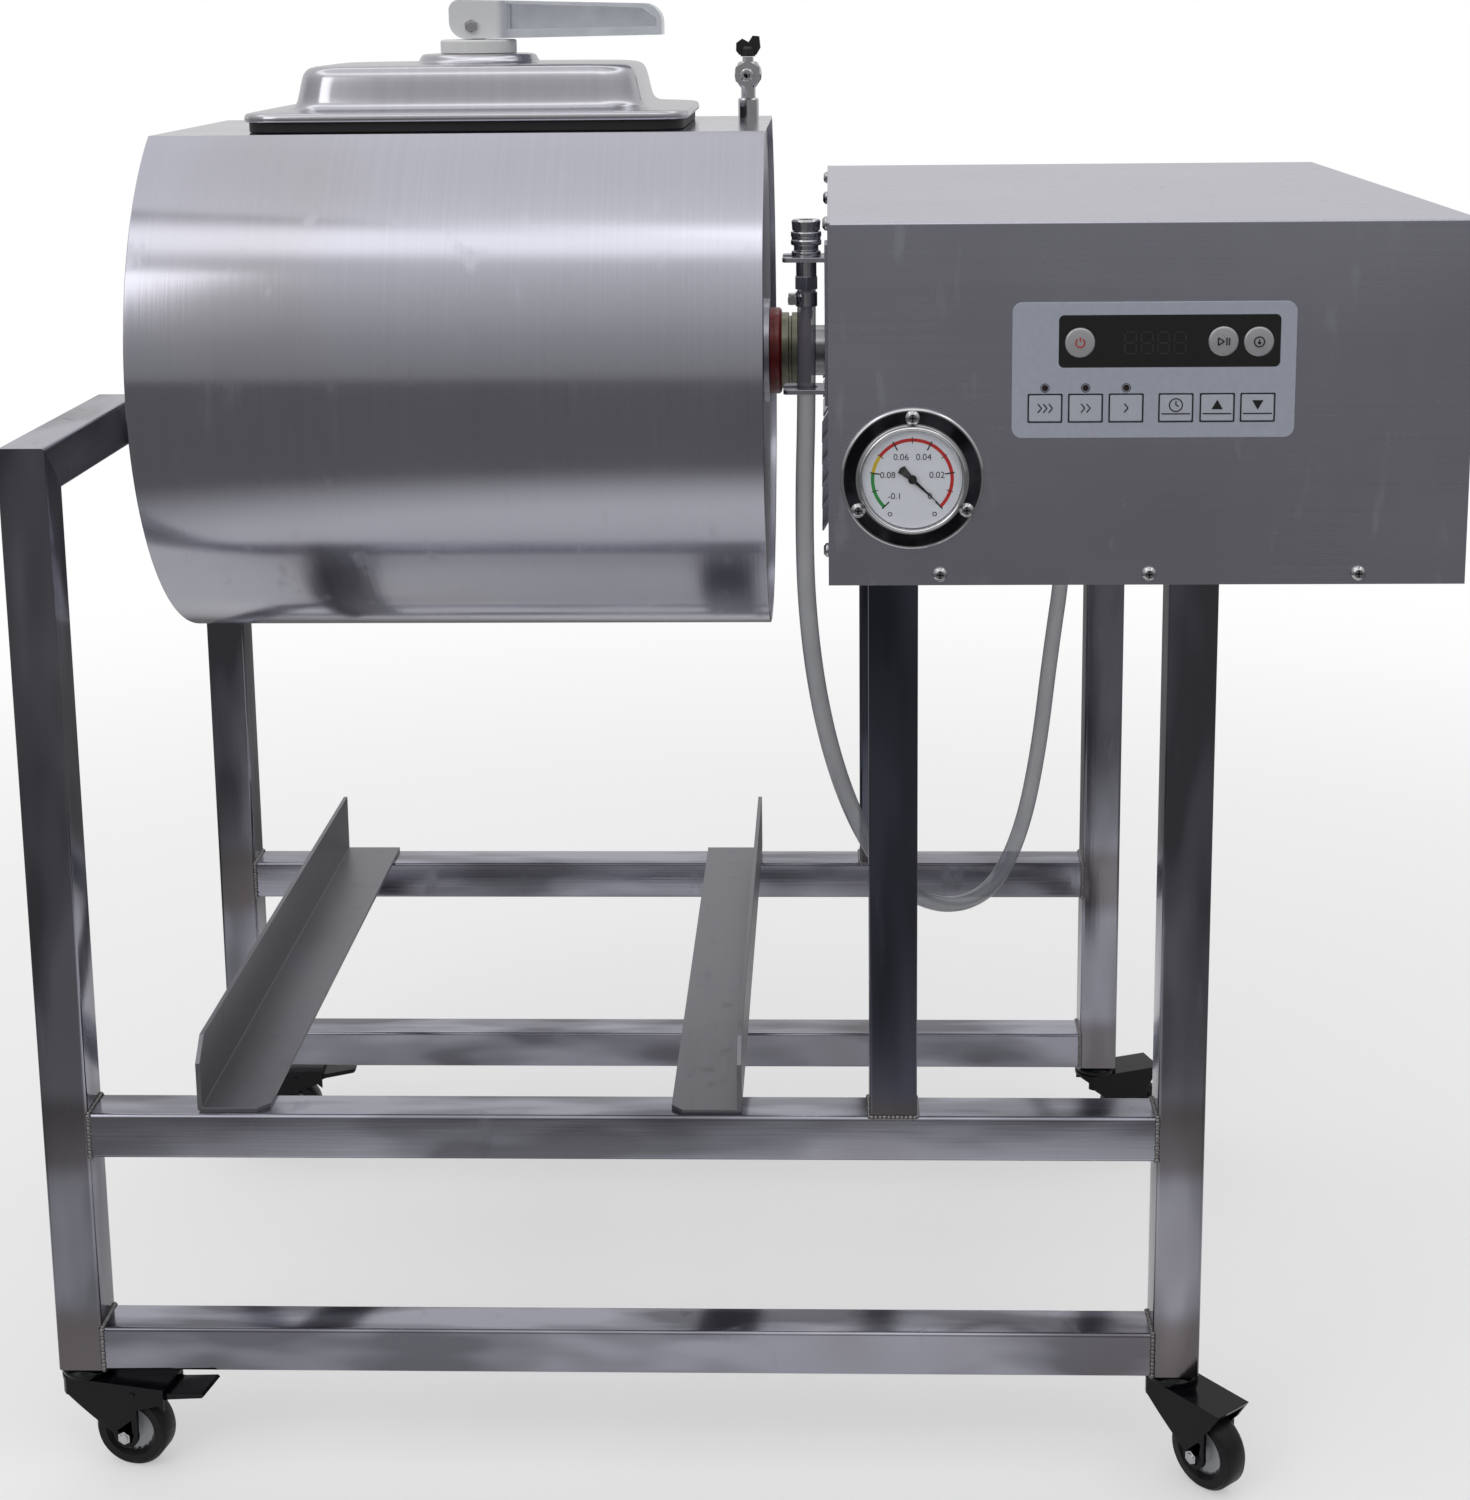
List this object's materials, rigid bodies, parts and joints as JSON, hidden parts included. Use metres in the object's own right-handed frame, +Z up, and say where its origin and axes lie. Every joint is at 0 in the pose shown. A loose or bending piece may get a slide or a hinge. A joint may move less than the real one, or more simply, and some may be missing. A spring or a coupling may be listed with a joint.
{
  "type": "meat vacuum tumbler",
  "caption": "Vacuum tumbler for marinating meat: a lidded steel drum on a wheeled tube frame, with a drive box, keys, gauge and vacuum hose.",
  "frame": {"origin": "on the floor under the middle of the machine, the cord pieces left out", "axes": "+X along the drum's axle from the left bearing to the drive box, +Y from the key panel towards the back, +Z up"},
  "size_m": [0.882, 0.5336, 0.9417],
  "materials": {
    "mill_tube": "mill-finish square stainless tube with heat marks at the welds",
    "rail_sheet": "folded stainless sheet, dull",
    "satin_sheet": "satin-brushed stainless sheet",
    "plated_steel": "bright plated steel",
    "turned_steel": "turned steel",
    "bearing_iron": "cast bearing housing",
    "red_paint": "red paint on steel with a yellow zinc ring",
    "black_steel": "black powder coat",
    "tyre": "black rubber tread on a grey core",
    "seal_rubber": "black rubber",
    "white_plastic": "white moulded plastic",
    "milky_plastic": "milky translucent plastic",
    "black_plastic": "black moulded plastic",
    "dial_card": "white printed dial",
    "needle_paint": "black pointer",
    "clear_glass": "clear glass",
    "panel_film": "pale silver-blue printed film",
    "silver_key": "silver domed key",
    "cast_aluminium": "grey painted die casting",
    "green_board": "circuit board",
    "clear_pvc": "clear soft PVC"
  },
  "bodies": {
    "frame": {"left_legs": "mill_tube", "right_legs": "mill_tube", "middle_legs": "mill_tube", "cross_rails": "mill_tube", "support_arms": "mill_tube", "tub_rails": "rail_sheet", "bearing_plate": "rail_sheet", "left_bearing": "bearing_iron", "caster_stems": "black_steel", "box_base": "turned_steel", "box_cover": "satin_sheet", "box_left_panel": "satin_sheet", "pan_head_screws": "plated_steel", "hose_bracket": "satin_sheet", "panel_overlay": "panel_film", "gauge_case": "plated_steel", "gauge_dial": "dial_card", "gauge_glass": "clear_glass", "gear_motor": "cast_aluminium", "vacuum_pump": "cast_aluminium", "control_board": "green_board", "hose_barb": "plated_steel", "hose": "clear_pvc", "coupler_body": "plated_steel", "hose_clamp": "plated_steel"},
    "coupler_sleeve": {"coupler_sleeve": "plated_steel"},
    "needle": {"gauge_needle": "needle_paint"},
    "drum": {"drum_shell": "satin_sheet", "drum_left_end": "satin_sheet", "drum_right_end": "satin_sheet", "drum_baffles": "satin_sheet", "valve_body": "plated_steel", "drive_hub": "red_paint", "drive_shaft": "turned_steel"},
    "valve_handle": {"valve_handle": "black_plastic"},
    "lid": {"lid_pan": "satin_sheet", "lid_gasket": "seal_rubber"},
    "knob": {"lid_knob_ring": "white_plastic"},
    "clamp_rod": {"lid_clamp_rod": "turned_steel", "lever_bolt": "plated_steel"},
    "lever": {"lid_lever": "milky_plastic"},
    "power_key": {"power_key": "silver_key"},
    "start_key": {"start_key": "silver_key"},
    "vacuum_key": {"vacuum_key": "silver_key"},
    "fast_key": {"fast_key": "panel_film"},
    "medium_key": {"medium_key": "panel_film"},
    "slow_key": {"slow_key": "panel_film"},
    "time_key": {"time_key": "panel_film"},
    "time_up_key": {"time_up_key": "panel_film"},
    "time_down_key": {"time_down_key": "panel_film"},
    "front_left_swivel": {"front_left_fork": "black_steel"},
    "front_left_roller": {"front_left_wheel": "tyre"},
    "front_left_brake": {"front_left_brake_pedal": "black_steel"},
    "back_left_swivel": {"back_left_fork": "black_steel"},
    "back_left_roller": {"back_left_wheel": "tyre"},
    "back_left_brake": {"back_left_brake_pedal": "black_steel"},
    "front_right_swivel": {"front_right_fork": "black_steel"},
    "front_right_roller": {"front_right_wheel": "tyre"},
    "back_right_swivel": {"back_right_fork": "black_steel"},
    "back_right_roller": {"back_right_wheel": "tyre"}
  },
  "joints": [
    {"name": "drum_spin", "type": "hinge", "parent": "frame", "child": "drum", "pos_m": [-0.374, 0.00887, 0.7], "axis": [1, 0, 0], "continuous": true},
    {"name": "valve_turn", "type": "hinge", "parent": "drum", "child": "valve_handle", "pos_m": [0.008, 0.08237, 0.9], "axis": [0, 0, 1], "range_deg": [0, 90]},
    {"name": "lid_lift", "type": "slide", "parent": "drum", "child": "lid", "axis": [0, 0, 1], "range_m": [0, 0.3]},
    {"name": "knob_turn", "type": "hinge", "parent": "lid", "child": "knob", "pos_m": [-0.173, 0.00887, 0.91], "axis": [0, 0, 1], "range_deg": [0, 90]},
    {"name": "rod_pull", "type": "slide", "parent": "knob", "child": "clamp_rod", "axis": [0, 0, 1], "range_m": [0, 0.0065]},
    {"name": "lever_cam", "type": "hinge", "parent": "clamp_rod", "child": "lever", "pos_m": [-0.1755, 0.00887, 0.9242], "axis": [0, -1, 0], "range_deg": [0, 90]},
    {"name": "needle_turn", "type": "hinge", "parent": "frame", "child": "needle", "pos_m": [0.1137, -0.24993, 0.66], "axis": [0, -1, 0], "range_deg": [0, 268], "stiffness_Nm_per_rad": 0.0005, "springref_deg": -11.46},
    {"name": "sleeve_draw", "type": "slide", "parent": "frame", "child": "coupler_sleeve", "axis": [0, 0, -1], "range_m": [0, 0.003], "stiffness_N_per_m": 500, "springref_m": -0.002},
    {"name": "power_key_press", "type": "slide", "parent": "frame", "child": "power_key", "axis": [0, 1, 0], "range_m": [0, 0.0005], "stiffness_N_per_m": 800},
    {"name": "start_key_press", "type": "slide", "parent": "frame", "child": "start_key", "axis": [0, 1, 0], "range_m": [0, 0.0005], "stiffness_N_per_m": 800},
    {"name": "vacuum_key_press", "type": "slide", "parent": "frame", "child": "vacuum_key", "axis": [0, 1, 0], "range_m": [0, 0.0005], "stiffness_N_per_m": 800},
    {"name": "fast_key_press", "type": "slide", "parent": "frame", "child": "fast_key", "axis": [0, 1, 0], "range_m": [0, 0.0005], "stiffness_N_per_m": 800},
    {"name": "medium_key_press", "type": "slide", "parent": "frame", "child": "medium_key", "axis": [0, 1, 0], "range_m": [0, 0.0005], "stiffness_N_per_m": 800},
    {"name": "slow_key_press", "type": "slide", "parent": "frame", "child": "slow_key", "axis": [0, 1, 0], "range_m": [0, 0.0005], "stiffness_N_per_m": 800},
    {"name": "time_key_press", "type": "slide", "parent": "frame", "child": "time_key", "axis": [0, 1, 0], "range_m": [0, 0.0005], "stiffness_N_per_m": 800},
    {"name": "time_up_key_press", "type": "slide", "parent": "frame", "child": "time_up_key", "axis": [0, 1, 0], "range_m": [0, 0.0005], "stiffness_N_per_m": 800},
    {"name": "time_down_key_press", "type": "slide", "parent": "frame", "child": "time_down_key", "axis": [0, 1, 0], "range_m": [0, 0.0005], "stiffness_N_per_m": 800},
    {"name": "front_left_swivel_turn", "type": "hinge", "parent": "frame", "child": "front_left_swivel", "pos_m": [-0.424, -0.21763, 0.06], "axis": [0, 0, 1], "continuous": true},
    {"name": "front_left_wheel_roll", "type": "hinge", "parent": "front_left_swivel", "child": "front_left_roller", "pos_m": [-0.3927, -0.22428, 0.025], "axis": [0.2079, 0.9781, 0], "continuous": true},
    {"name": "front_left_brake_press", "type": "hinge", "parent": "front_left_swivel", "child": "front_left_brake", "pos_m": [-0.38683, -0.22553, 0.0545], "axis": [0.2079, 0.9781, 0], "range_deg": [0, 6]},
    {"name": "back_left_swivel_turn", "type": "hinge", "parent": "frame", "child": "back_left_swivel", "pos_m": [-0.424, 0.23537, 0.06], "axis": [0, 0, 1], "continuous": true},
    {"name": "back_left_wheel_roll", "type": "hinge", "parent": "back_left_swivel", "child": "back_left_roller", "pos_m": [-0.39208, 0.2376, 0.025], "axis": [-0.0698, 0.9976, 0], "continuous": true},
    {"name": "back_left_brake_press", "type": "hinge", "parent": "back_left_swivel", "child": "back_left_brake", "pos_m": [-0.38609, 0.23802, 0.0545], "axis": [-0.0698, 0.9976, 0], "range_deg": [0, 6]},
    {"name": "front_right_swivel_turn", "type": "hinge", "parent": "frame", "child": "front_right_swivel", "pos_m": [0.284, -0.21763, 0.06], "axis": [0, 0, 1], "continuous": true},
    {"name": "front_right_wheel_roll", "type": "hinge", "parent": "front_right_swivel", "child": "front_right_roller", "pos_m": [0.30457, -0.24214, 0.025], "axis": [0.766, 0.6428, 0], "continuous": true},
    {"name": "back_right_swivel_turn", "type": "hinge", "parent": "frame", "child": "back_right_swivel", "pos_m": [0.284, 0.23537, 0.06], "axis": [0, 0, 1], "continuous": true},
    {"name": "back_right_wheel_roll", "type": "hinge", "parent": "back_right_swivel", "child": "back_right_roller", "pos_m": [0.31407, 0.24632, 0.025], "axis": [-0.342, 0.9397, 0], "continuous": true}
  ],
  "couplings": [
    {"joint": "rod_pull", "follows": "lever_cam", "m_per_rad": 0.004138}
  ]
}
